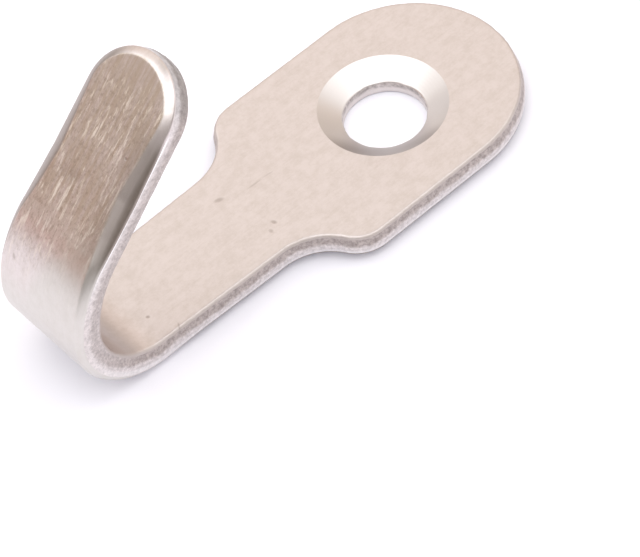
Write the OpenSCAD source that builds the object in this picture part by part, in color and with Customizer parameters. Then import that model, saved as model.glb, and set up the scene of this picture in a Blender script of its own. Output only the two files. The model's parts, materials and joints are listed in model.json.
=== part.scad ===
// Key hook: one stamped strip of stainless sheet, folded into a J, for one countersunk screw.
//
// Frame: millimetres, +Z up. The hook lies on its back: the back face of the plate is z = 0,
// the screw hole's axis is x = y = 0, the round end of the plate points to +Y and the strip
// runs towards -Y, where it folds up and comes back over the plate as the arm.
//
// The strip is drawn as a flat blank first, and fold() then bends it. The blank's sheared
// edge has four parts, from the back face to the front face: a rolled-over corner, an
// upright burnished band, a fractured band that leans inwards, and a broken front corner.

/* [Sheet] */
// Thickness of the sheet
sheet_t = 1.5; // [1.2:0.1:2.4]

/* [Plate] */
// Width of the plate, which is also the diameter of its round end
plate_w = 12; // [10.5:0.5:18]
// From the hole's axis to the tip of the round end
hole_to_end = 7.5; // [6.5:0.5:14]
// From the hole's axis down to where the straight sides of the plate end
hole_to_shoulder = 5.4; // [4.4:0.2:9]

/* [Shoulders] */
// Radius of the rounded outer corner of a shoulder
shoulder_r = 2; // [1.4:0.2:3]
// Radius of the hollow that runs from a shoulder into the strip
hollow_r = 3; // [1.6:0.2:4.4]

/* [Strip] */
// Width of the strip where the shoulders end
strip_w = 6.8; // [6.4:0.2:8.6]
// Width of the strip at its round tip
tip_w = 5.7; // [4.8:0.1:6.4]

/* [Hook] */
// From the hole's axis down to where the fold starts
hole_to_fold = 17.2; // [14:0.2:26]
// Inner radius of the tight part of the fold
seat_r = 2.9; // [2.2:0.1:5]
// Angle that the tight part of the fold turns through
seat_angle = 100; // [90:2:118]
// Inner radius of the open part of the fold, which runs into the arm
sweep_r = 5.6; // [5:0.2:9]
// Angle of the whole fold
fold_angle = 138; // [124:2:144]
// Straight length of the arm, from the end of the fold to the end of the round tip
arm_len = 9.6; // [8:0.2:16]

/* [Screw hole] */
// Diameter of the screw hole
hole_d = 4.3; // [3:0.1:5]
// Diameter of the countersink at the front face
countersink_d = 6.7; // [5.8:0.1:8]
// Height of the straight wall of the hole, below the countersink
hole_land = 0.7; // [0.4:0.1:1]

/* [Sheared edge] */
// How far the rolled-over corner reaches into the back face
roll_w = 0.9; // [0.3:0.1:1]
// Height of the rolled-over corner
roll_h = 0.4; // [0.1:0.05:0.45]
// Height of the burnished band above the rolled-over corner
burnish_h = 0.5; // [0.1:0.05:0.5]
// How far the fractured band leans inwards
fracture_lean = 0.1; // [0:0.02:0.2]
// Radius of the broken corner at the front face
break_r = 0.2; // [0.05:0.05:0.2]

/* [Hidden] */

// Steps in each corner round, in each curve of the outline and in each degree of the fold
CORNER_STEPS = 5;
// The rolled-over corner curves faster where it starts than where it ends
ROLL_POWER = 1.5;
CURVE_STEPS = 10;
TIP_STEPS = 16;
FOLD_STEP = 3;
// How far a cutter passes through the face that it cuts
OVERCUT = 1;
$fn = 96;

end_r = plate_w / 2;
end_y = hole_to_end - end_r;
shoulder_y = -hole_to_shoulder;
fold_y = -hole_to_fold;
tip_r = tip_w / 2;

// The blank is laid out along the middle of the sheet, which keeps its length in the fold
middle = sheet_t / 2;
open_angle = fold_angle - seat_angle;
seat_len = (seat_r + middle) * seat_angle * PI / 180;
sweep_len = (sweep_r + middle) * open_angle * PI / 180;
fold_len = seat_len + sweep_len;
tip_y = fold_y - fold_len - arm_len + tip_r;

// The strip narrows evenly from the shoulders to its tip, and two arcs make each shoulder
shoulder_reach = sqrt(pow(shoulder_r + hollow_r, 2)
    - pow(shoulder_r + hollow_r - end_r + strip_w / 2, 2));
taper = atan((strip_w / 2 - tip_r) / (shoulder_y - shoulder_reach - tip_y));
shoulder_turn = acos((shoulder_r + hollow_r * cos(taper) - end_r + strip_w / 2)
    / (shoulder_r + hollow_r));

// The sheared edge, as [distance in from the outline, height above the back face]
EDGE = concat(
    [for (i = [0:CORNER_STEPS]) let (k = i / CORNER_STEPS)
        [roll_w * (1 - k), roll_h * pow(k, ROLL_POWER)]],
    [[0, roll_h + burnish_h]],
    [for (i = [0:CORNER_STEPS]) let (a = 90 * i / CORNER_STEPS)
        [fracture_lean + break_r * (1 - cos(a)), sheet_t - break_r * (1 - sin(a))]]
);
EDGE_LAST = len(EDGE) - 1;

// Outward normal of the right-hand outline, turned by an angle from +X towards -Y
function normal(a) = [cos(a), -sin(a)];

// Points from one value to another in a number of equal steps, without the first one
function steps(from, to, count) = [for (i = [1:count]) from + (to - from) * i / count];

// The right-hand outline of the blank below the plate, as [point, angle of its normal]
SHOULDER_C = [end_r - shoulder_r, shoulder_y];
HOLLOW_C = SHOULDER_C + (shoulder_r + hollow_r) * normal(shoulder_turn);
HOLLOW_END = HOLLOW_C - hollow_r * normal(taper);
TIP_C = [0, tip_y];
TIP_START = TIP_C + tip_r * normal(taper);
// Where the outline crosses each line of the fold, and the two ends of the arm's side
FOLD_LINES = concat(
    [fold_y],
    steps(fold_y, fold_y - seat_len, ceil(seat_angle / FOLD_STEP)),
    steps(fold_y - seat_len, fold_y - fold_len, ceil(open_angle / FOLD_STEP))
);
function side_point(y) = [HOLLOW_END.x - (HOLLOW_END.y - y) * tan(taper), y];

OUTLINE = concat(
    [[[end_r, shoulder_y], 0]],
    [for (a = steps(0, shoulder_turn, CURVE_STEPS)) [SHOULDER_C + shoulder_r * normal(a), a]],
    [for (a = steps(shoulder_turn, taper, CURVE_STEPS)) [HOLLOW_C - hollow_r * normal(a), a]],
    [for (y = FOLD_LINES) [side_point(y), taper]],
    [[TIP_START, taper]],
    [for (a = steps(taper, 90, TIP_STEPS)) [TIP_C + tip_r * normal(a), a]]
);
OUTLINE_LAST = len(OUTLINE) - 1;

// The fold: two arcs that meet on one radius, and the straight arm after them
function spoke(a) = [0, sin(a), cos(a)];
function along(a) = [0, -cos(a), sin(a)];
SEAT_C = [0, fold_y, sheet_t + seat_r];
SWEEP_C = SEAT_C + (sweep_r - seat_r) * spoke(seat_angle);

// Where a point of the flat blank goes, at a height z above the back face
function fold(p, z) = let (s = fold_y - p.y)
    s <= 0 ? [p.x, p.y, z]
    : s <= seat_len ? fold_arc(p.x, SEAT_C, seat_r + sheet_t - z, seat_angle * s / seat_len)
    : s <= fold_len ? fold_arc(p.x, SWEEP_C, sweep_r + sheet_t - z,
        seat_angle + open_angle * (s - seat_len) / sweep_len)
    : fold_arc(p.x, SWEEP_C, sweep_r + sheet_t - z, fold_angle) + (s - fold_len) * along(fold_angle);
function fold_arc(x, centre, r, a) = [x, 0, 0] + centre - r * spoke(a);

// One corner of the sheared edge all the way round the strip: down the right-hand side,
// round the tip and back up the left-hand side
function edge_ring(corner) = concat(
    [for (i = [0:OUTLINE_LAST]) edge_point(OUTLINE[i], corner, 1)],
    [for (i = [OUTLINE_LAST - 1:-1:0]) edge_point(OUTLINE[i], corner, -1)]
);
function edge_point(station, corner, side) =
    let (p = station[0] - corner[0] * normal(station[1])) fold([side * p.x, p.y], corner[1]);

// Half of the plate's cross-section, from the middle of the plate to its sheared edge
HALF_SECTION = concat([[0, 0]], [for (c = EDGE) [end_r - c[0], c[1]]], [[0, sheet_t]]);

// The strip below the plate, with its shoulders, fold, arm and round tip, as one closed skin
module folded_strip() {
    ring = 2 * OUTLINE_LAST + 1;
    points = [for (corner = EDGE) each edge_ring(corner)];
    sheared = [for (e = [0:EDGE_LAST - 1], i = [0:ring - 2])
        let (a = e * ring + i, b = a + 1, c = b + ring, d = a + ring)
        each [[a, b, c], [a, c, d]]];
    // Across each face, a station on the right is joined to its mirror image on the left
    faces = [for (e = [0, EDGE_LAST], i = [0:OUTLINE_LAST - 1])
        let (a = e * ring + i, b = a + 1, c = (e + 1) * ring - 2 - i, d = c + 1)
        each e == 0
            ? (b == c ? [[a, d, b]] : [[a, d, c], [a, c, b]])
            : (b == c ? [[a, b, d]] : [[a, b, c], [a, c, d]])];
    top_end = concat(
        [for (e = [0:EDGE_LAST]) e * ring],
        [for (e = [EDGE_LAST:-1:0]) (e + 1) * ring - 1]
    );
    polyhedron(points, concat(sheared, faces, [top_end]), convexity = 6);
}

// The plate: its straight sides, and the half disc of its round end
module plate() {
    translate([0, end_y, 0]) rotate_extrude(angle = 180) polygon(HALF_SECTION);
    translate([0, end_y, 0]) rotate([90, 0, 0]) linear_extrude(end_y - shoulder_y) {
        polygon(HALF_SECTION);
        mirror([1, 0]) polygon(HALF_SECTION);
    }
}

// The screw hole: a straight wall, and a cone that opens to the front face
module screw_hole() {
    cone_h = sheet_t - hole_land;
    widen = (countersink_d - hole_d) / 2 / cone_h;
    translate([0, 0, -OVERCUT]) cylinder(h = sheet_t + 2 * OVERCUT, d = hole_d);
    translate([0, 0, hole_land])
        cylinder(h = cone_h + OVERCUT, d1 = hole_d, d2 = countersink_d + 2 * OVERCUT * widen);
}

module hook() {
    color("#d2cac6") difference() {
        union() {
            plate();
            folded_strip();
        }
        screw_hole();
    }
}

hook();
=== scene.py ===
"""Key hook: one strip of stainless sheet, blanked, countersunk, folded into a J and barrel finished.

The sheet is drawn flat in millimetres, the way it leaves the press, and then folded. The flat
position of every point stays on the mesh as the attribute "blank", so the rolling marks and
the scratches follow the strip through its fold.
"""
import json
import math

import bpy
import numpy as np
from bpy.props import FloatProperty, FloatVectorProperty, PointerProperty, StringProperty
from mathutils import Matrix, Vector, noise
from mathutils.geometry import delaunay_2d_cdt


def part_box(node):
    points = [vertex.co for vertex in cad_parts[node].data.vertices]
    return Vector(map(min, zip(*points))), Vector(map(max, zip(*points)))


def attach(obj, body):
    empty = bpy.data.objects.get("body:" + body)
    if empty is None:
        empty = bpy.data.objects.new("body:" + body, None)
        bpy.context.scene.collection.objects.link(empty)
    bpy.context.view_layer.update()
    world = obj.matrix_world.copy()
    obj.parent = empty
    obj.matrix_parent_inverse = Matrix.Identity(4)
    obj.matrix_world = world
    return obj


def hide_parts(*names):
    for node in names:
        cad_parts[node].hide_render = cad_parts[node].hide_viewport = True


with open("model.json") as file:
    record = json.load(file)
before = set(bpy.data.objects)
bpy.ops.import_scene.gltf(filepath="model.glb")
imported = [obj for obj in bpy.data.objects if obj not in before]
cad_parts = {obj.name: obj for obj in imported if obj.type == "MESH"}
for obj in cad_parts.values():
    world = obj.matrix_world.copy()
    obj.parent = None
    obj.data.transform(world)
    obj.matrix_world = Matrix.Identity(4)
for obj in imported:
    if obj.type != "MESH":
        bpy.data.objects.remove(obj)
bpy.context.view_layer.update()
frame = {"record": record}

bl_info = {
    "name": "Key hook",
    "version": (1, 0, 0),
    "blender": (4, 5, 0),
    "location": "3D View > Sidebar > Key hook",
    "description": "A folded stainless key hook with its sheared edges, countersink and studio stage",
    "category": "Add Mesh",
}

MM = 0.001
MOUNTS = {mount["name"]: mount for mount in frame["record"]["mounts"]}
HOLE = MOUNTS["screw_hole"]["dims"]
SEAT = MOUNTS["key_seat"]["dims"]
HOOK_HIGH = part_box("hook")[1]


# ---------------------------------------------------------------- sizes and colours


def length(name, default, description):
    """A size in metres"""
    return FloatProperty(name=name, default=default, description=description, unit="LENGTH", precision=5)


def angle(name, degrees, description):
    """An angle, given in degrees"""
    return FloatProperty(name=name, default=math.radians(degrees), description=description, subtype="ANGLE")


class HookSizes(bpy.types.PropertyGroup):
    """The sizes of the blank and of its fold"""
    thickness: length("Sheet", 1.5 * MM, "Thickness of the sheet")
    end_radius: length("End radius", HOOK_HIGH[0], "Radius of the round end, half the plate's width")
    end_reach: length("End reach", HOOK_HIGH[1], "From the hole's axis to the tip of the round end")
    shoulder_reach: length("Shoulder", 5.4 * MM, "From the hole's axis to the end of the straight sides")
    shoulder_radius: length("Shoulder corner", 2.0 * MM, "Radius of a shoulder's outer corner")
    hollow_radius: length("Shoulder hollow", 3.0 * MM, "Radius of the hollow between shoulder and strip")
    strip_width: length("Strip", 6.8 * MM, "Width of the strip where the shoulders end")
    tip_width: length("Tip", 5.7 * MM, "Width of the strip at its round tip")
    fold_reach: length("Fold", 17.2 * MM, "From the hole's axis to the start of the fold")
    seat_radius: length("Seat radius", SEAT["r_mm"] * MM, "Inner radius of the tight part of the fold")
    seat_angle: angle("Seat angle", 100, "Angle of the tight part of the fold")
    sweep_radius: length("Sweep radius", 5.6 * MM, "Inner radius of the open part of the fold")
    fold_angle: angle("Fold angle", 138, "Angle of the whole fold")
    arm_length: length("Arm", 9.6 * MM, "Straight length of the arm to the end of its tip")
    hole_radius: length("Hole radius", HOLE["r_mm"] * MM, "Radius of the screw hole")
    land: length("Hole land", HOLE["length_mm"] * MM, "Height of the hole's straight wall")
    rim_radius: length("Countersink radius", 3.35 * MM, "Radius of the countersink at the front face")
    roll_width: length("Rolled corner width", 0.90 * MM, "How far the punch rolled the back face over")
    roll_height: length("Rolled corner height", 0.40 * MM, "How far the rolled corner reaches up the edge")
    burnish: length("Burnished band", 0.50 * MM, "Height of the burnished band of the sheared edge")
    lean: length("Fracture lean", 0.10 * MM, "How far the fractured band leans inwards")
    break_radius: length("Broken corner", 0.20 * MM, "Radius of the broken corner at the front face")


class HookFinish(bpy.types.PropertyGroup):
    """The colours and the roughness of the steel"""
    steel: StringProperty(name="Steel", default="#E0D8D7",
                          description="Colour of the rolled faces, as sRGB hex")
    sheared: StringProperty(name="Sheared", default="#E9E2E0",
                            description="Colour of the sheared edge, as sRGB hex")
    countersunk: StringProperty(name="Countersunk", default="#DAD5D3",
                                description="Colour of the cut cone, as sRGB hex")
    roughness: FloatProperty(name="Roughness", default=0.34, min=0, max=1, subtype="FACTOR",
                             description="Roughness of the rolled faces")


class StageSettings(bpy.types.PropertyGroup):
    """The camera and the floor"""
    aim: FloatVectorProperty(name="Aim", default=(7.585 * MM, -10.589 * MM, 4.0 * MM), subtype="TRANSLATION",
                             unit="LENGTH", description="Point that the camera looks at")
    distance: length("Distance", 0.14556, "From the camera to its aim")
    azimuth: angle("Azimuth", 57.720, "Turn of the sight line from +Y towards -X")
    elevation: angle("Elevation", 51.415, "Height of the camera above the horizon")
    roll: angle("Roll", -12.024, "Turn of the camera about its sight line")
    lens: FloatProperty(name="Lens", default=173.8, subtype="DISTANCE_CAMERA", unit="CAMERA",
                        description="Focal length on a 36 mm sensor, in millimetres")
    floor_size: length("Floor", 1.2, "Side of the floor")
    floor_colour: StringProperty(name="Floor colour", default="#E8E7EC",
                                 description="Colour of the floor, as sRGB hex")


# ---------------------------------------------------------------- the flat blank


STATION = 0.12      # spacing of points along the outline, mm
LATTICE = 0.25      # spacing of points inside the faces, mm
LATTICE_GAP = 0.55  # how near to a loop a point inside a face may stand, as a share of that spacing
BLOCKS = 24         # parts in which those points are tested, to save memory
COLLAR = 0.07       # width of the narrow ring of faces that keeps a flat face flat up to its edge, mm
ROLL_POWER = 1.5    # the rolled corner curves faster where it starts than where it ends
ROLL_START = 0.20   # how softly the rolled corner leaves the flat face, as a share of its width
ROLL_EASE = 0.09    # the small rounding where the rolled corner meets the upright edge, mm
# Rings of points up the sheared edge
ROLL_RINGS, EASE_RINGS, BURNISH_RINGS, FRACTURE_RINGS, BREAK_RINGS = 18, 6, 6, 7, 7
# How much of the rolled corner's width and height there is along the blank: places in mm, then the two
# shares. The outside of the fold was stretched, which left little of it, and the round tip has about half.
ROLL_SHARES = [(-35.5, 0.52, 0.72), (-31.0, 1.0, 1.0), (-29.0, 0.80, 0.92), (-27.5, 0.53, 0.80),
               (-25.0, 0.35, 0.70), (-19.0, 0.35, 0.70), (-15.0, 1.0, 1.0)]

HOLE_STEPS = 180            # points round the hole
CONE_ROWS, WALL_ROWS = 11, 6    # rings of points down the cone and down the straight wall
CONE_END = 0.93             # share of the cone above the rounding that ends it
WALL_SPAN = (0.85, 0.15)    # the wall's rings, as shares of its height
LIP = 0.02                  # rounding where the cone meets the wall, mm
FOOT = 0.05                 # rounding where the wall meets the back face, mm


class Shape:
    """The hook's sizes in millimetres, with what follows from them"""

    def __init__(self, sizes):
        for key in sizes.__annotations__:
            value = getattr(sizes, key)
            setattr(self, key, value if key.endswith("_angle") else value / MM)
        self.end_y = self.end_reach - self.end_radius
        self.tip_radius = self.tip_width / 2
        self.middle = self.thickness / 2
        self.seat_bend = self.seat_radius + self.middle
        self.sweep_bend = self.sweep_radius + self.middle
        self.seat_length = self.seat_bend * self.seat_angle
        self.sweep_length = self.sweep_bend * (self.fold_angle - self.seat_angle)
        self.fold_length = self.seat_length + self.sweep_length
        self.fold_y = -self.fold_reach
        self.tip_y = self.fold_y - self.fold_length - self.arm_length + self.tip_radius
        radii = self.shoulder_radius + self.hollow_radius
        drop = self.end_radius - self.strip_width / 2
        reach = math.sqrt(radii ** 2 - (radii - drop) ** 2)
        narrowing = self.strip_width / 2 - self.tip_radius
        self.taper = math.atan(narrowing / (-self.shoulder_reach - reach - self.tip_y))
        bent = self.shoulder_radius + self.hollow_radius * math.cos(self.taper) - drop
        self.shoulder_turn = math.acos(bent / radii)


def outward(turn):
    """Normals of the right-hand outline, turned from +X towards -Y"""
    return np.stack([np.cos(turn), -np.sin(turn)], axis=-1)


def arc(centre, radius, start, end):
    """Points and normals of the outline round a corner, or round a hollow where the radius is negative"""
    count = math.ceil(abs(radius * (end - start)) / STATION)
    turns = np.linspace(start, end, count + 1)[1:]
    return np.asarray(centre) + radius * outward(turns), outward(turns)


def side(start, end, turn):
    """Points and normals of the outline along a straight side"""
    count = math.ceil(np.hypot(*np.subtract(end, start)) / STATION)
    share = np.linspace(0, 1, count + 1)[1:, None]
    points = np.asarray(start) + share * np.subtract(end, start)
    return points, np.repeat(outward(np.array([turn])), count, axis=0)


def outline(shape):
    """The closed outline of the blank and its outward normals, from the round end down the right"""
    round_centre = (0, shape.end_y)
    flank_end = (shape.end_radius, -shape.shoulder_reach)
    corner = (shape.end_radius - shape.shoulder_radius, -shape.shoulder_reach)
    turned = outward(np.array(shape.shoulder_turn))
    hollow = corner + (shape.shoulder_radius + shape.hollow_radius) * turned
    tapered = outward(np.array(shape.taper))
    strip_top = hollow - shape.hollow_radius * tapered
    tip = np.array([0, shape.tip_y])
    strip_end = tip + shape.tip_radius * tapered
    runs = [
        ([[0, shape.end_reach]], [[0, 1]]),
        arc(round_centre, shape.end_radius, -math.pi / 2, 0),
        side((shape.end_radius, shape.end_y), flank_end, 0),
        arc(corner, shape.shoulder_radius, 0, shape.shoulder_turn),
        arc(hollow, -shape.hollow_radius, shape.shoulder_turn, shape.taper),
        side(strip_top, strip_end, shape.taper),
        arc(tip, shape.tip_radius, shape.taper, math.pi / 2),
    ]
    points = np.concatenate([run[0] for run in runs])
    normals = np.concatenate([run[1] for run in runs])
    mirror = np.array([-1, 1])
    points = np.concatenate([points, points[-2:0:-1] * mirror])
    normals = np.concatenate([normals, normals[-2:0:-1] * mirror])
    return points, normals


def fold(blank, shape):
    """Points of the flat blank, as x, y and height above the back face, folded into the hook"""
    x, y, z = blank.T
    past = shape.fold_y - y
    seat = np.clip(past, 0, shape.seat_length) / shape.seat_bend
    sweep = np.clip(past - shape.seat_length, 0, shape.sweep_length) / shape.sweep_bend
    straight = np.maximum(past - shape.fold_length, 0)
    turn = seat + sweep
    swept = shape.seat_angle + sweep
    path_y = (np.maximum(y, shape.fold_y) - shape.seat_bend * np.sin(seat)
              + shape.sweep_bend * (math.sin(shape.seat_angle) - np.sin(swept)) - straight * np.cos(turn))
    path_z = (shape.middle + shape.seat_bend * (1 - np.cos(seat))
              + shape.sweep_bend * (math.cos(shape.seat_angle) - np.cos(swept)) + straight * np.sin(turn))
    lift = z - shape.middle
    return np.stack([x, path_y + lift * np.sin(turn), path_z + lift * np.cos(turn)], axis=1)


def edge_profile(shape):
    """The sheared edge: rolled corner, burnished band, fractured band and broken corner

    Each is a list of (inset, height) pairs, from the back face towards the front face.
    """
    width, height, wall = shape.roll_width, shape.roll_height, ROLL_EASE
    shares = np.linspace(0, 1 - wall / width, ROLL_RINGS)
    rises = (shares ** 2 + ROLL_START ** 2) ** (ROLL_POWER / 2) - ROLL_START ** ROLL_POWER
    scale = height / ((1 + ROLL_START ** 2) ** (ROLL_POWER / 2) - ROLL_START ** ROLL_POWER)
    rolled = [(width * (1 - s), scale * rise) for s, rise in zip(shares, rises)]
    start, foot, end = rolled.pop(), (0, height), (0, height + wall)
    rolled += [tuple(np.dot([(1 - s) ** 2, 2 * s * (1 - s), s ** 2], [start, foot, end]))
               for s in np.linspace(0, 1, EASE_RINGS)]
    burnish_top = height + shape.burnish
    burnished = [(0, z) for z in np.linspace(height + wall, burnish_top, BURNISH_RINGS)[1:]]
    fracture_top = shape.thickness - shape.break_radius
    fractured = [(shape.lean * s, burnish_top + (fracture_top - burnish_top) * s)
                 for s in np.linspace(0, 1, FRACTURE_RINGS)[1:-1]]
    broken = [(shape.lean + shape.break_radius * (1 - math.cos(a)),
               shape.thickness - shape.break_radius * (1 - math.sin(a)))
              for a in np.linspace(0, math.pi / 2, BREAK_RINGS)]
    return rolled, burnished, fractured, broken


def collar(loop):
    """The points of a loop, moved COLLAR into the face: inwards from an outline, outwards from a hole"""
    along = np.roll(loop, -1, axis=0) - np.roll(loop, 1, axis=0)
    across = np.column_stack([along[:, 1], -along[:, 0]]) / np.hypot(along[:, :1], along[:, 1:])
    return loop + COLLAR * across


def lattice(loops):
    """Rows of points over the inside of the first loop, kept clear of every loop"""
    low, high = loops[0].min(axis=0), loops[0].max(axis=0)
    rows = np.arange(low[1], high[1], LATTICE * math.sqrt(3) / 2)
    points = [(x, y) for row, y in enumerate(rows)
              for x in np.arange(low[0] + LATTICE / 2 * (row % 2), high[0], LATTICE)]
    points = np.array(points)
    keep = np.ones(len(points), dtype=bool)
    for loop in loops:
        for block in np.array_split(np.arange(len(points)), BLOCKS):
            away = points[block, None] - loop[None]
            keep[block] &= np.hypot(away[..., 0], away[..., 1]).min(axis=1) > LATTICE * LATTICE_GAP
    return points[keep]


INSIDE = 1          # the triangulation keeps only what lies inside the loops
SAME = 1e-6         # points nearer to each other than this are one point, mm
IN_HOLE = 0.999     # a face whose middle lies within this share of the hole's radius is part of the hole


def fill(loops, inner, hole_radius):
    """Triangles over the face between the loops: their points, and each face as indices"""
    points = np.concatenate(loops + [inner])
    edges, start = [], 0
    for loop in loops:
        edges += [(start + i, start + (i + 1) % len(loop)) for i in range(len(loop))]
        start += len(loop)
    made, _, faces, origins, _, _ = delaunay_2d_cdt([Vector(p) for p in points], edges, [], INSIDE, SAME)
    source = [found[0] if found else -1 for found in origins]
    if any(source[i] < 0 for face in faces for i in face):
        raise RuntimeError("the face's triangulation added a point")
    faces = [[source[i] for i in face] for face in faces]
    return points, [face for face in faces if np.hypot(*points[face].mean(axis=0)) > hole_radius * IN_HOLE]


# ---------------------------------------------------------------- marks of making and use


# Unevenness of the sheared edge and of the hole's wall: how far it strays and how wide its lumps are, both in
# mm, and a number that sets its noise apart from the others
RAGGED_LINE = (0.10, 1.3, 6)        # where the burnished band ends
TORN_LUMPS = (0.016, 0.3, 3)        # the fractured band
TORN_GRAIN = (0.008, 0.14, 4)
EDGE_WAVER = (0.008, 0.7, 5)        # the whole edge
CORNER_WAVER = (0.02, 0.28, 11)     # the broken corner
WALL_TEARS = (0.030, 0.55, 7)       # the hole's wall
WALL_GRAIN = (0.018, 0.16, 8)
WALL_STRETCH = (1, 1, 0.4)          # the wall's tears are longer up and down
TORN_DEPTH = 0.014                  # how much deeper the fractured band lies, mm
TORN_RISE = 0.2                     # height over which the fracture comes in, mm
WAVER_RISE = 0.3                    # height over which the edge starts to waver, mm

# Marks on the sheet, each an ellipse on the flat blank: x, y and height in mm, half length and half width in
# mm, heading of its length from +X in degrees, and how dark and deep it is
MARKS = [
    (-1.50, -9.67, 1.5, 0.30, 0.15, 70, 0.40),
    (1.60, -8.73, 1.5, 0.20, 0.13, 20, 0.45),
    (1.91, -9.20, 1.5, 0.17, 0.12, 0, 0.35),
    (1.46, -16.76, 1.5, 0.13, 0.10, 40, 0.55),
    (-0.95, -7.80, 1.5, 0.50, 0.06, 88, 0.25),
    (-0.92, -6.90, 1.5, 0.40, 0.06, 83, 0.20),
    (3.00, -16.08, 1.5, 0.25, 0.06, -30, 0.35),
    (1.57, -32.68, 0, 0.11, 0.09, 0, 0.50),
    (-1.99, -25.47, 0, 0.17, 0.11, 60, 0.40),
    (-0.87, -30.45, 0, 1.00, 0.40, -6, 0.20),
]
MARK_RIM = (1.2, 0.3)       # a mark fades in between these shares of its half length and half width
MARK_REACH = 0.3            # how far a mark reaches up or down from its height, mm


def grain(points, stray, pitch, seed):
    """Smooth noise from -stray to stray at points in millimetres, with lumps about one pitch across"""
    offset = Vector((seed * 17.3, seed * 5.1, seed * 9.7))
    return stray * np.array([noise.noise(Vector(p) / pitch + offset) for p in points])


FACE, SHEARED, CUT = 0, 1, 2      # material slots of the hook's mesh


def sheared_edge(shape):
    """Rings of points up the sheared edge, and the material slot of the faces above each ring"""
    points, normals = outline(shape)
    rolled, burnished, fractured, broken = edge_profile(shape)
    profile = rolled + burnished + fractured + broken
    burnish_top = shape.roll_height + shape.burnish
    wall_foot = rolled[-1][1]
    places, widths, heights = np.transpose(ROLL_SHARES)
    width_share = np.interp(points[:, 1], places, widths)
    height_share = np.interp(points[:, 1], places, heights)
    ragged = burnish_top + grain(np.column_stack([points, np.zeros(len(points))]), *RAGGED_LINE)
    rings = []
    for inset, level in profile:
        inset = inset * width_share if level <= wall_foot else inset
        # Where the rolled corner is lower, the burnished band reaches down to it
        lowered = min(level, (burnish_top - level) * wall_foot / (burnish_top - wall_foot))
        height = level - (1 - height_share) * max(lowered, 0)
        spot = np.column_stack([points, height])
        below_corner = min((shape.thickness - level) / shape.break_radius, 1)
        torn = np.clip((level - ragged) / TORN_RISE, 0, 1) * below_corner
        rough = torn * (grain(spot, *TORN_LUMPS) + grain(spot, *TORN_GRAIN) - TORN_DEPTH)
        waver = min(level / WAVER_RISE, 1) * grain(spot, *EDGE_WAVER)
        if level > shape.thickness - shape.break_radius:
            waver = waver + grain(spot, *CORNER_WAVER)
        ring = points - normals * (inset - np.minimum(rough + waver, 0))[:, None]
        rings.append(np.column_stack([ring, height]))
    first_sheared, last_sheared = len(rolled) - 1, len(profile) - len(broken)
    slots = [SHEARED if first_sheared <= row <= last_sheared else FACE for row in range(len(profile) - 1)]
    return rings, slots


def screw_hole(shape):
    """Rings of points from the rim at the front face, down the cone and the straight wall, to the back"""
    rim, wall, top, land = shape.rim_radius, shape.hole_radius, shape.thickness, shape.land
    # Each row has its radius, its height and how much of the wall's tears it shows
    rows = [(rim + (wall - rim) * s, top + (land - top) * s, 0) for s in np.linspace(0, CONE_END, CONE_ROWS)]
    rows += [(wall + LIP, land + LIP, 0.5), (wall, land - LIP, 1)]
    rows += [(wall, land * s, 0.8) for s in np.linspace(*WALL_SPAN, WALL_ROWS)]
    rows += [(wall + 0.2 * FOOT, 0.8 * FOOT, 0.2), (wall + FOOT, 0, 0)]
    turns = np.linspace(0, 2 * math.pi, HOLE_STEPS, endpoint=False)
    circle = np.stack([np.cos(turns), np.sin(turns)], axis=1)
    rings = []
    for radius, height, torn in rows:
        heights = np.full(HOLE_STEPS, height)
        spot = np.column_stack([circle * radius, heights])
        tear = torn * (grain(spot * WALL_STRETCH, *WALL_TEARS) + grain(spot, *WALL_GRAIN))
        rings.append(np.column_stack([circle * (radius + tear[:, None]), heights]))
    return rings


def ring_faces(start, count, rows):
    """Four-sided faces between rings of points that follow one another"""
    faces = []
    for row in range(rows - 1):
        for i in range(count):
            a, b = start + row * count + i, start + row * count + (i + 1) % count
            faces.append((a, a + count, b + count, b))
    return faces


def build_blank(shape):
    """The whole skin of the flat blank: points, faces and each face's material slot"""
    edge, edge_slots = sheared_edge(shape)
    hole = screw_hole(shape)
    count = len(edge[0])
    hole_start = len(edge) * count
    skin = np.concatenate(edge + hole)
    faces = ring_faces(0, count, len(edge)) + ring_faces(hole_start, HOLE_STEPS, len(hole))
    slots = np.repeat(edge_slots, count).tolist() + [CUT] * HOLE_STEPS * (len(hole) - 1)

    # The two faces, each filled between its outline and the hole
    back, rim = np.arange(count), hole_start + np.arange(HOLE_STEPS)
    front, foot = hole_start - count + back, rim + (len(hole) - 1) * HOLE_STEPS
    for outer, ring, height, up in ((front, rim, shape.thickness, 1), (back, foot, 0, -1)):
        loops = [skin[outer, :2], skin[ring, :2]]
        collars = [collar(loop) for loop in loops]
        inner = np.concatenate(collars + [lattice(loops + collars)])
        flat, triangles = fill(loops, inner, np.hypot(*skin[ring[0], :2]) * math.cos(math.pi / HOLE_STEPS))
        index = np.concatenate([outer, ring, len(skin) + np.arange(len(inner))])
        skin = np.concatenate([skin, np.column_stack([inner, np.full(len(inner), height)])])
        for triangle in triangles:
            corners = [int(index[i]) for i in triangle]
            a, b, c = (flat[i] for i in triangle[:3])
            turned = (b[0] - a[0]) * (c[1] - a[1]) - (b[1] - a[1]) * (c[0] - a[0])
            faces.append(corners if turned * up > 0 else corners[::-1])
            slots.append(FACE)
    return skin, faces, slots


# ---------------------------------------------------------------- materials


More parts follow.
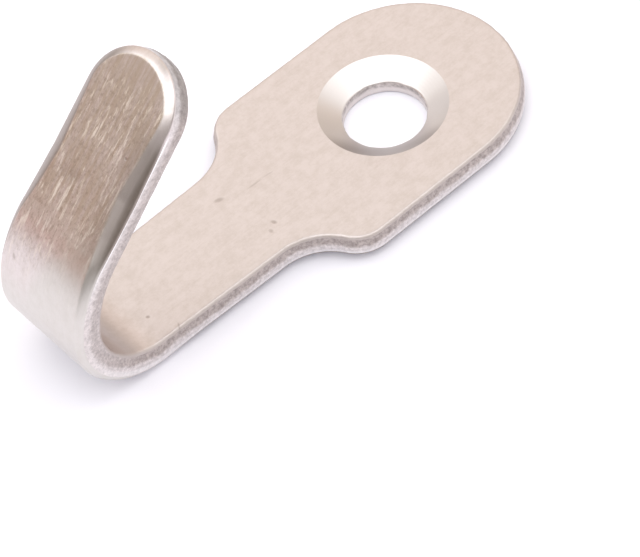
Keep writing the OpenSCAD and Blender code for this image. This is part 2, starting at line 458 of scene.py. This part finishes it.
# Fine patterns of the rolled faces, on the flat blank: the width across the strip and the length along it of
# one lump in mm, the number of its finer layers and their strength, and the values of its noise at which it
# starts to show and shows fully
PATTERNS = {
    "rolling_lines": (0.1111, 2.0, 3.0, 0.60, 0.35, 0.75),  # drawn coarser: real ones are some 0.02 mm apart
    "dimples": (0.4545, 0.625, 5.0, 0.78, 0.35, 0.70),      # as large as the chips in the barrel leave them
    "scratches": (0.2222, 2.0, 4.0, 0.75, 0.53, 0.65),      # drawn coarser: real ones are some 0.05 mm wide
    "nicks": (0.125, 0.7692, 4.0, 0.75, 0.55, 0.65),
    "smears": (0.3125, 3.333, 4.0, 0.65, 0.40, 0.58),
    "worn_patches": (1.25, 2.5, 2.0, 0.60, 0.34, 0.54),     # where scratches and nicks stand in groups
    "pits": (0.1667, 0.2857, 4.0, 0.75, 0.46, 0.64),
}
# More patterns, each with the width of its lumps in mm. The grain of a real fracture is some 0.05 mm, and a
# countersink's tool marks stand some 0.03 mm apart: both are drawn coarser, or they wouldn't show.
FRACTURE_GRAIN = 0.2
FRACTURE_PATCH = 0.625      # where the fracture starts sooner or later
WALL_LUMP = 0.3333          # on the torn wall of the hole
TURNED_PITCH = 0.157
SHADED_SIDE = (0.77, -0.64, 0.0)      # the heading from the hole's axis in which the cone carries painted shade

# Where each finish, painted shade and painted highlight lies, in mm on the flat blank. "across" is 0 on the
# middle line, "along" is 0 at the hole's axis and falls towards the tip, and "height" is 0 at the back face.
# "slanted" is
# "along" for painted shade that starts sooner on the left, and "skewed" is "along" for painted shade that
# ends on a slant. Each range fades in from its first place to its second, and a zone is where all its ranges
# meet.
ZONES = {
    # The rolled faces
    "arm_back": [("along", -27.0, -30.0), ("height", 0.03, 0.0)],
    "key_track": [("along", -24.0, -27.5), ("height", 0.03, 0.0), ("along", -37.0, -35.0)],
    # Where the rolled corner's painted shade lies
    "outer_side": [("height", 0.7, 0.5)],
    "outer_side_right": [("across", 0.8, 2.4), ("height", 0.7, 0.5)],
    "arm": [("slanted", -25.0, -28.0), ("skewed", -36.4, -34.9)],
    "plate": [("along", -18.0, -15.0)],
    # Painted shade on the outside of the fold
    "bend_outside": [("along", -16.0, -20.0), ("slanted", -29.0, -26.5), ("height", 0.7, 0.5)],
    # Painted shade in the inside of the fold
    "bend_inside": [("along", -17.4, -19.6), ("height", 1.2, 1.4)],
    "broken_corner": [("height", 1.28, 1.34), ("height", 1.4995, 1.465)],
    # The sheared edge
    "fold_edge": [("along", -18.0, -24.0)],
    "arm_edge": [("along", -18.0, -24.0), ("along", -36.0, -33.5)],
    "tip_edge": [("along", -34.8, -36.2)],
    # Where a painted highlight lies along the foot of the burnished band
    "arm_burnish": [("height", 0.56, 0.44), ("along", -25.0, -30.0), ("along", -35.0, -34.0)],
    "plate_burnish": [("height", 0.72, 0.55), ("along", -24.0, -18.0)],
    # The countersink and the hole
    # Painted shade on one side of the cone
    "dull_cone": [("towards_dull", 1.2, 2.7)],
    "hole_wall": [("height", 0.73, 0.66)],
    "wall_foot": [("height", 0.55, 0.25)],
}
MIDDLE = (-1.0, 1.0)        # where the left side's painted shade runs into the right side's, mm across
SHADE_LEAD = 3.5             # how much nearer to the hole the arm's painted corner shade starts on the left, mm
TIP_SKEW = -0.6             # how far the end of the arm's painted corner shade runs along the arm for each mm across it


def srgb(code):
    """A colour given as sRGB hex, as the linear RGBA that the shaders take"""
    parts = [int(code[i:i + 2], 16) / 255 for i in (1, 3, 5)]
    return [p / 12.92 if p <= 0.04045 else ((p + 0.055) / 1.055) ** 2.4 for p in parts] + [1.0]


# Kinds of node with their settings, as node() takes them
MIX = ("ShaderNodeMix", {"data_type": "RGBA"})
RANGE = ("ShaderNodeMapRange", {})
FADE = ("ShaderNodeMapRange", {"interpolation_type": "SMOOTHSTEP"})
TIMES = ("ShaderNodeMath", {"operation": "MULTIPLY"})
TIMES_PLUS = ("ShaderNodeMath", {"operation": "MULTIPLY_ADD"})
PLUS = ("ShaderNodeMath", {"operation": "ADD"})
MINUS = ("ShaderNodeMath", {"operation": "SUBTRACT"})
LARGER = ("ShaderNodeMath", {"operation": "MAXIMUM"})
DOT = ("ShaderNodeVectorMath", {"operation": "DOT_PRODUCT"})


def node(tree, kind, settings=None, *values, **named):
    """Adds a node with its settings, and fills its inputs in their order or by their names

    A plain value is set, a socket is linked, and a node is linked by its first output in use.
    """
    made = tree.nodes.new(kind)
    for key, value in (settings or {}).items():
        setattr(made, key, value)
    inputs = list(zip([socket for socket in made.inputs if socket.enabled], values))
    inputs += [(made.inputs[key.replace("_", " ")], value) for key, value in named.items()]
    for socket, value in inputs:
        if isinstance(value, bpy.types.Node):
            value = next(output for output in value.outputs if output.enabled)
        if isinstance(value, bpy.types.NodeSocket):
            tree.links.new(value, socket)
        else:
            socket.default_value = value
    return made


def new_material(name):
    """An empty material and its node tree"""
    material = bpy.data.materials.new(name)
    material.use_nodes = True
    material.node_tree.nodes.clear()
    return material, material.node_tree


def steel_surface(tree, colour, roughness, height, bump):
    """Ends a steel's tree: a metal with the default IOR, its bump in mm and its output"""
    relief = node(tree, "ShaderNodeBump", Height=height, Strength=1.0, Distance=bump * MM)
    steel = node(tree, "ShaderNodeBsdfPrincipled", Base_Color=colour, Metallic=1.0, Roughness=roughness,
                 Normal=relief)
    node(tree, "ShaderNodeOutputMaterial", Surface=steel)


def blank_place(tree):
    """A point's place on the flat blank in mm, as a vector and as the lengths that the zones are given in"""
    blank = node(tree, "ShaderNodeAttribute", {"attribute_name": "blank"}).outputs["Vector"]
    parts = node(tree, "ShaderNodeSeparateXYZ", Vector=blank).outputs
    return blank, {"across": parts["X"], "along": parts["Y"], "height": parts["Z"]}


def zone(tree, place, name):
    """How far a point lies inside a zone, from 0 to 1"""
    inside = 1.0
    for key, start, end in ZONES[name]:
        inside = node(tree, *TIMES, inside, node(tree, *FADE, place[key], start, end))
    return inside


def speckle(tree, blank, width, run, layers, strength, low, high):
    """A pattern's noise, and how far the pattern shows in it"""
    lumps = node(tree, "ShaderNodeMapping", Vector=blank, Scale=(1 / width, 1 / run, 1.0))
    raw = node(tree, "ShaderNodeTexNoise", Vector=lumps, Scale=1.0, Detail=layers, Roughness=strength)
    return raw, node(tree, *FADE, raw, low, high)


def layered(tree, tone, layers):
    """Lays colours over a tone, each as far as its share times its strength"""
    for share, strength, colour in layers:
        tone = node(tree, *MIX, node(tree, *TIMES, share, strength), tone, colour)
    return tone


def marked(tree, blank):
    """How dark and deep the marks of the list are at a point of the blank"""
    total = 0.0
    for x, y, height, half_length, half_width, heading, strength in MARKS:
        near = node(tree, "ShaderNodeMapping", {"vector_type": "TEXTURE"}, Vector=blank,
                    Location=(x, y, height), Rotation=(0, 0, math.radians(heading)),
                    Scale=(half_length, half_width, MARK_REACH))
        away = node(tree, "ShaderNodeVectorMath", {"operation": "LENGTH"}, near)
        total = node(tree, *LARGER, node(tree, *FADE, away, *MARK_RIM, 0.0, strength), total)
    return total


def painted_corner_shade(tree, place):
    """How far a point of the plate or of the arm gets the painted shade of the rolled corner"""
    # The painted shade starts at the back face on the arm and 0.02 mm above it elsewhere. It comes in at once
    # on the left and over 0.3 mm of height on the right, where a thin even painted shade lies over the whole
    # outer side too.
    start = node(tree, *RANGE, place["slanted"], -30.0, -26.0, 0.0, 0.02)
    reach = node(tree, *RANGE, place["across"], *MIDDLE, 0.02, 0.30)
    risen = node(tree, *MINUS, place["height"], start)
    first = node(tree, *TIMES, node(tree, *FADE, risen, 0.0, 0.015), 0.55)
    corner = node(tree, *LARGER, node(tree, *FADE, risen, 0.0, reach), first)
    corner = node(tree, *TIMES, corner, zone(tree, place, "outer_side"))
    arm = zone(tree, place, "arm")
    covered = node(tree, *TIMES, corner, node(tree, *PLUS, arm, zone(tree, place, "plate")))
    right = node(tree, *TIMES, zone(tree, place, "outer_side_right"), 0.45)
    return node(tree, *LARGER, node(tree, *TIMES, right, arm), covered)


def rolled_stainless(finish):
    """Type 304 stainless sheet, cold rolled and barrel finished: a pale satin, faintly mottled

    Keys rub the back of the arm: it is smeared along the strip, pitted, and has short bright scratches.
    """
    material, tree = new_material("rolled_stainless_304")
    blank, place = blank_place(tree)
    sooner = node(tree, *RANGE, place["across"], *MIDDLE, SHADE_LEAD, 0.0)
    place["slanted"] = node(tree, *MINUS, place["along"], sooner)
    place["skewed"] = node(tree, *TIMES_PLUS, place["across"], TIP_SKEW, place["along"])
    raw, shown = {}, {}
    for name, pattern in PATTERNS.items():
        raw[name], shown[name] = speckle(tree, blank, *pattern)
    arm_back, key_track = zone(tree, place, "arm_back"), zone(tree, place, "key_track")
    lengthwise = node(tree, *RANGE, arm_back, 0.0, 1.0, 0.4, 1.0)

    # The colours of the finish and of the wear, from the first that the sheet got to the last, with painted
    # shade laid in before the marks
    faint = node(tree, *TIMES, shown["rolling_lines"], 0.5)
    mottled = node(tree, *TIMES, node(tree, *TIMES_PLUS, shown["dimples"], 1.5, faint), lengthwise)
    smeared = node(tree, *TIMES, shown["smears"], arm_back)
    pitted = node(tree, *TIMES, shown["pits"], key_track)
    struck = node(tree, *TIMES, node(tree, *LARGER, shown["scratches"], shown["nicks"]),
                  node(tree, *TIMES, shown["worn_patches"], key_track))
    # The colour of the rolled corner's painted shade, darker on the right
    corner_shade_colour = node(tree, *MIX, node(tree, *FADE, place["across"], *MIDDLE), srgb("#A79E98"), srgb("#9A9089"))
    broken, marks = zone(tree, place, "broken_corner"), marked(tree, blank)
    tone = layered(tree, srgb(finish.steel), [
        (mottled, 1.0, srgb("#D0C7C2")),
        (smeared, 0.8, srgb("#C6BAAC")),
        (pitted, 0.45, srgb("#A09588")),
        (struck, 0.6, srgb("#FAF3E8")),
        # Painted shade on the rolled corner
        (painted_corner_shade(tree, place), 1.0, corner_shade_colour),
        # Painted shade on the outside of the fold
        (zone(tree, place, "bend_outside"), 0.6, srgb("#D1D0CA")),
        # Painted shade in the inside of the fold
        (zone(tree, place, "bend_inside"), 0.5, srgb("#B6AFB1")),
        # Painted shade on the broken corner, which tones down its highlight
        (broken, 0.7, srgb("#C4BBB6")),
        (marks, 1.0, srgb("#8E8078")),
    ])

    # The satin changes a little with the dimples, and is rougher on scratches and on the broken corner
    satin = node(tree, *RANGE, raw["dimples"], 0.3, 0.7, finish.roughness - 0.04, finish.roughness + 0.05)
    rough = node(tree, *TIMES_PLUS, broken, 0.25, node(tree, *TIMES_PLUS, struck, 0.12, satin))
    lines = node(tree, *TIMES, raw["rolling_lines"], lengthwise)
    relief = node(tree, *TIMES_PLUS, marks, -6.0, node(tree, *TIMES_PLUS, raw["dimples"], 1.4, lines))
    steel_surface(tree, tone, rough, relief, 0.002)
    return material


def sheared_stainless(finish):
    """Type 304 stainless as the punch leaves it: bright where burnished, with a painted highlight along the
    foot of the burnished band, and grey and grainy where it tore
    """
    material, tree = new_material("sheared_stainless_edge")
    blank, place = blank_place(tree)
    grainy = node(tree, "ShaderNodeTexNoise", Vector=blank, Scale=1 / FRACTURE_GRAIN, Detail=5.0,
                  Roughness=0.75)
    patchy = node(tree, "ShaderNodeTexNoise", Vector=blank, Scale=1 / FRACTURE_PATCH, Detail=2.0,
                  Roughness=0.6)
    # The fracture starts at an uneven height, sooner past the plate, and shows less along the straight arm
    ragged = node(tree, *TIMES_PLUS, patchy, 0.35, place["height"])
    ragged = node(tree, *TIMES_PLUS, zone(tree, place, "fold_edge"), 0.25, ragged)
    less = node(tree, *TIMES_PLUS, zone(tree, place, "arm_edge"), -0.5, 1.0)
    torn = node(tree, *TIMES, node(tree, *FADE, ragged, 1.00, 1.22), less)
    spread = node(tree, *FADE, grainy, 0.30, 0.72)
    burnished = node(tree, *MIX, spread, srgb("#C2BBB9"), srgb(finish.sheared))
    fractured = node(tree, *MIX, spread, srgb("#9C9390"), srgb("#CCC2BE"))
    # A painted white highlight along the foot of the burnished band, fainter on the plate
    plate_burnish, arm_burnish = zone(tree, place, "plate_burnish"), zone(tree, place, "arm_burnish")
    bright = node(tree, *TIMES_PLUS, plate_burnish, 0.4, arm_burnish)
    tone = layered(tree, burnished, [
        (torn, 1.0, fractured),
        (zone(tree, place, "tip_edge"), 0.35, srgb("#8A8C88")),
        (bright, 1.0, srgb("#FFFFFF")),
    ])
    steel_surface(tree, tone, node(tree, *RANGE, torn, 0.0, 1.0, 0.34, 0.55), grainy, 0.02)
    return material


def countersunk_stainless(finish):
    """Type 304 stainless as the countersink leaves it: a smooth cone with painted shade on one side, over a
    torn wall
    """
    material, tree = new_material("countersunk_stainless")
    blank, place = blank_place(tree)
    place["towards_dull"] = node(tree, *DOT, blank, SHADED_SIDE)
    # A wave texture of scale 1 has 20 / (2 pi) rings to a millimetre
    rings = node(tree, "ShaderNodeTexWave", {"wave_type": "RINGS", "rings_direction": "Z"}, Vector=blank,
                 Scale=2 * math.pi / 20 / TURNED_PITCH, Distortion=0.8, Detail=2.0).outputs["Fac"]
    grainy = node(tree, "ShaderNodeTexNoise", Vector=blank, Scale=1 / WALL_LUMP, Detail=4.0, Roughness=0.7)
    wall = zone(tree, place, "hole_wall")
    # Painted shade darkens the cone on one side
    cone = layered(tree, srgb(finish.countersunk), [(zone(tree, place, "dull_cone"), 1.0, srgb("#B0A8A3"))])
    torn = layered(tree, srgb("#9A928E"), [
        (node(tree, *FADE, grainy, 0.35, 0.65), 1.0, srgb("#D3CBC7")),
        (zone(tree, place, "wall_foot"), 1.0, srgb("#E2DBD8")),
    ])
    rough = node(tree, *RANGE, wall, 0.0, 1.0, 0.32, 0.45)
    steel_surface(tree, node(tree, *MIX, wall, cone, torn), rough, rings, 0.0006)
    return material


def white_paper(stage):
    """Uncoated white paper: matt, so that it shows no highlight

    Its faint cold glow stands for the light that the rest of a pale room sends into the shadow.
    """
    material, tree = new_material("matt_white_paper")
    paper = node(tree, "ShaderNodeBsdfPrincipled", Base_Color=srgb(stage.floor_colour), Roughness=0.9,
                 Emission_Color=srgb("#E6EAFF"), Emission_Strength=0.15)
    node(tree, "ShaderNodeOutputMaterial", Surface=paper)
    return material


# ---------------------------------------------------------------- stage


# The studio round the hook. Each wall has the heading of its middle, from +X towards +Y, how far to each side
# it is full and where it is gone, and its colour and brightness at heights above the horizon. All the angles
# are in degrees. A later wall lies over the earlier ones.
CEILING = [(61, "#FFFFFF", 1.95), (90, "#FFFFFF", 1.8)]
CREAM = [(0, "#F2E6DC", 0.80), (16, "#F6E8DC", 0.90), (32, "#FBEADC", 1.12), (42, "#FBF1EA", 1.22),
         (55, "#FBF4EC", 1.20)]
STUDIO = [
    ("room", 0, 180, 180, [(-90, "#F4F2F6", 1.0), (0, "#F4F2F6", 1.0), (16, "#F6EEEA", 1.05),
                           (34, "#FBF7F5", 1.25), (46, "#FFFDFB", 1.6)] + CEILING),
    ("cream_wall", 128, 40, 56, CREAM + [(66, "#FBF4EC", 1.2), (76, "#FFFFFF", 1.6), (90, "#FFFFFF", 1.8)]),
    ("ceiling_gap", 124, 20, 34, CREAM + [(63, "#F6ECE1", 0.75), (71, "#FBF7F5", 0.4), (90, "#FBF7F5", 0.5)]),
    ("bench_end", -149, 6, 18, [(-3, "#F4F2F6", 1.0), (2, "#D8C8BC", 0.9), (6, "#C6B19E", 0.80),
                                (15, "#C6B19E", 0.85), (23, "#F2ECE8", 1.2), (31, "#FFFDFB", 1.7),
                                (46, "#FFFFFF", 2.0)] + CEILING),
    ("wooden_bench", -126, 13, 27, [(-3, "#F4F2F6", 1.0), (3, "#F4EEF0", 1.0), (9, "#E8CCC0", 0.92),
                                    (15, "#E29072", 1.0), (21, "#C4B7A4", 0.80), (29, "#C7BCAF", 0.83),
                                    (34, "#F2ECE8", 1.3), (39, "#FFFFFF", 1.9)] + CEILING),
    ("dark_front", -45, 58, 78, [(2, "#F4F2F6", 1.0), (11, "#BDB5AF", 0.88), (18, "#B5ACA6", 0.75),
                                 (34, "#B5ACA6", 0.72), (39, "#D3CBC5", 1.1),
                                 (45, "#FFFFFF", 1.9)] + CEILING),
]
BRIGHTEST = 2.0         # the largest brightness in the list, because a ramp's own colours stop at 1

LAMP_SPOT = Vector((-0.05, 0.17, 0.40))     # where the lamp hangs and what it points at, m
LAMP_AIM = Vector((0, -0.008, 0))
LAMP_WIDTH = 0.60       # width of its soft disk, m
LAMP_POWER = 0.36       # W

FLOOR_GAP = 0.02        # how far the paper lies below the hook's lowest face, mm
SENSOR = 36.0           # width of the camera's sensor, mm
CLIP = (0.01, 10.0)     # nearest and farthest thing that the camera sees, m


def studio_world(scene):
    """A pale studio: a cream wall with a gap in the ceiling over it, a wooden bench and an unlit front

    The satin steel mirrors it, so its tones come from here.
    """
    world = bpy.data.worlds.new("studio")
    world.use_nodes = True
    tree = world.node_tree
    tree.nodes.clear()
    sight = node(tree, "ShaderNodeTexCoord").outputs["Generated"]
    parts = node(tree, "ShaderNodeSeparateXYZ", Vector=sight).outputs
    level = node(tree, "ShaderNodeCombineXYZ", X=parts["X"], Y=parts["Y"], Z=0.0)
    ahead = node(tree, "ShaderNodeVectorMath", {"operation": "NORMALIZE"}, level)
    height = node(tree, *RANGE, parts["Z"], -1.0, 1.0)
    shade = None
    for name, heading, full, gone, stops in STUDIO:
        ramp = node(tree, "ShaderNodeValToRGB", {"label": name}, Fac=height)
        bands = ramp.color_ramp.elements
        bands.remove(bands[1])
        for number, (degrees, colour, strength) in enumerate(stops):
            at = (math.sin(math.radians(degrees)) + 1) / 2
            band = bands[0] if number == 0 else bands.new(at)
            band.position = at
            band.color = [part * strength / BRIGHTEST for part in srgb(colour)[:3]] + [1]
        if shade is None:
            shade = ramp
            continue
        turn = math.radians(heading)
        facing = node(tree, *DOT, ahead, (math.cos(turn), math.sin(turn), 0.0))
        within = node(tree, *FADE, facing, math.cos(math.radians(gone)), math.cos(math.radians(full)))
        shade = node(tree, *MIX, within, shade, ramp)
    back = node(tree, "ShaderNodeBackground", Color=shade, Strength=BRIGHTEST)
    node(tree, "ShaderNodeOutputWorld", Surface=back)
    scene.world = world


def hang_lamp(scene):
    """One large soft lamp lights the paper and casts the hook's shadow. The steel mirrors only the studio."""
    data = bpy.data.lights.new("key_softbox", "AREA")
    data.shape, data.size, data.energy = "DISK", LAMP_WIDTH, LAMP_POWER
    lamp = bpy.data.objects.new("key_softbox", data)
    lamp.location = LAMP_SPOT
    lamp.rotation_euler = (LAMP_AIM - LAMP_SPOT).to_track_quat("-Z", "Y").to_euler()
    lamp.visible_glossy = False
    scene.collection.objects.link(lamp)


def place_camera(scene, stage):
    """The camera looks along the sight line at its aim, turned about it by its roll"""
    data = bpy.data.cameras.new("camera")
    data.sensor_width, data.lens = SENSOR, stage.lens
    data.clip_start, data.clip_end = CLIP
    camera = bpy.data.objects.new("camera", data)
    scene.collection.objects.link(camera)
    level, turn = math.cos(stage.elevation), stage.azimuth
    sight = Vector((-level * math.sin(turn), level * math.cos(turn), -math.sin(stage.elevation)))
    pose = sight.to_track_quat("-Z", "Y").to_matrix() @ Matrix.Rotation(stage.roll, 3, "Z")
    camera.matrix_world = Matrix.Translation(Vector(stage.aim) - sight * stage.distance) @ pose.to_4x4()
    scene.camera = camera


# ---------------------------------------------------------------- operators and panel


def mesh_object(name, points, faces, materials):
    """An object in the scene, from points in metres and faces"""
    mesh = bpy.data.meshes.new(name)
    mesh.from_pydata(np.asarray(points).tolist(), [], faces)
    made = bpy.data.objects.new(name, mesh)
    bpy.context.scene.collection.objects.link(made)
    for material in materials:
        mesh.materials.append(material)
    return made


class HOOK_OT_sheet(bpy.types.Operator):
    """Make the folded sheet"""
    bl_idname = "hook.sheet"
    bl_label = "Folded sheet"

    def execute(self, context):
        shape = Shape(context.scene.hook_sizes)
        finish = context.scene.hook_finish
        blank, faces, slots = build_blank(shape)
        steels = [rolled_stainless(finish), sheared_stainless(finish), countersunk_stainless(finish)]
        hook = mesh_object("folded_sheet", fold(blank, shape) * MM, faces, steels)
        mesh = hook.data
        mesh.attributes.new("blank", "FLOAT_VECTOR", "POINT").data.foreach_set("vector", blank.ravel())
        mesh.polygons.foreach_set("material_index", slots)
        mesh.shade_smooth()
        # The countersink's rim stays crisp
        rim = np.isclose(np.hypot(blank[:, 0], blank[:, 1]), shape.rim_radius, atol=1e-4)
        rim &= blank[:, 2] > shape.land
        for edge in mesh.edges:
            edge.use_edge_sharp = bool(rim[edge.vertices[0]] and rim[edge.vertices[1]])
        mesh.update()
        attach(hook, "root")
        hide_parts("hook")
        return {"FINISHED"}


class HOOK_OT_stage(bpy.types.Operator):
    """Make the floor, the studio, the lamp and the camera"""
    bl_idname = "hook.stage"
    bl_label = "Studio stage"

    def execute(self, context):
        scene, stage = context.scene, context.scene.hook_stage
        half = stage.floor_size / 2
        corners = [(-half, -half, 0), (half, -half, 0), (half, half, 0), (-half, half, 0)]
        floor = mesh_object("floor", corners, [(0, 1, 2, 3)], [white_paper(stage)])
        floor.location.z = -FLOOR_GAP * MM
        studio_world(scene)
        hang_lamp(scene)
        place_camera(scene, stage)
        scene.view_settings.view_transform = "Standard"
        return {"FINISHED"}


class HOOK_PT_panel(bpy.types.Panel):
    """The hook's operators in the sidebar"""
    bl_label = "Key hook"
    bl_space_type = "VIEW_3D"
    bl_region_type = "UI"
    bl_category = "Key hook"

    def draw(self, context):
        for made in (HOOK_OT_sheet, HOOK_OT_stage):
            self.layout.operator(made.bl_idname)
        for settings in (context.scene.hook_sizes, context.scene.hook_finish, context.scene.hook_stage):
            box = self.layout.box()
            for key in settings.__annotations__:
                box.prop(settings, key)


CLASSES = (HookSizes, HookFinish, StageSettings, HOOK_OT_sheet, HOOK_OT_stage, HOOK_PT_panel)


def register():
    for made in CLASSES:
        bpy.utils.register_class(made)
    bpy.types.Scene.hook_sizes = PointerProperty(type=HookSizes)
    bpy.types.Scene.hook_finish = PointerProperty(type=HookFinish)
    bpy.types.Scene.hook_stage = PointerProperty(type=StageSettings)


def unregister():
    del bpy.types.Scene.hook_stage, bpy.types.Scene.hook_finish, bpy.types.Scene.hook_sizes
    for made in reversed(CLASSES):
        bpy.utils.unregister_class(made)


def main():
    register()
    bpy.ops.hook.sheet()
    bpy.ops.hook.stage()


if __name__ == "__main__":
    main()
